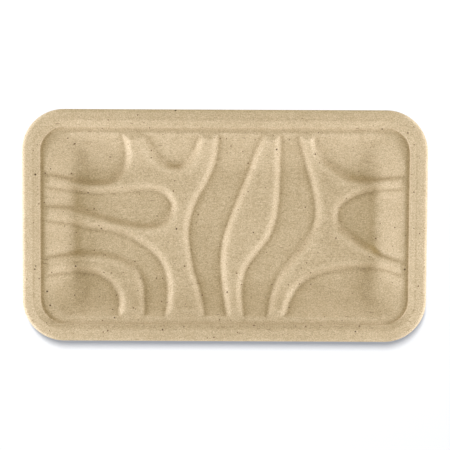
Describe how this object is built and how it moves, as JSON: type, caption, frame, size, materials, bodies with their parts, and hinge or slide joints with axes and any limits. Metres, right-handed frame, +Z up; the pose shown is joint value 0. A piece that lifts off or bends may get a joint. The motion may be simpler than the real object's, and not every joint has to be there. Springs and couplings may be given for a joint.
{
  "type": "food tray",
  "caption": "Shallow rectangular food tray of moulded fibre with a flanged rim, sloping walls and raised stiffening bands across its floor.",
  "frame": {"origin": "middle of the tray in plan, on the plane of the flat underside it rests on", "axes": "+X along the length, +Y across the width, +Z up out of the open side"},
  "size_m": [0.21, 0.12, 0.014],
  "materials": {
    "fibre": "matte undyed moulded fibre"
  },
  "bodies": {
    "root": {"tray": "fibre"}
  },
  "joints": []
}
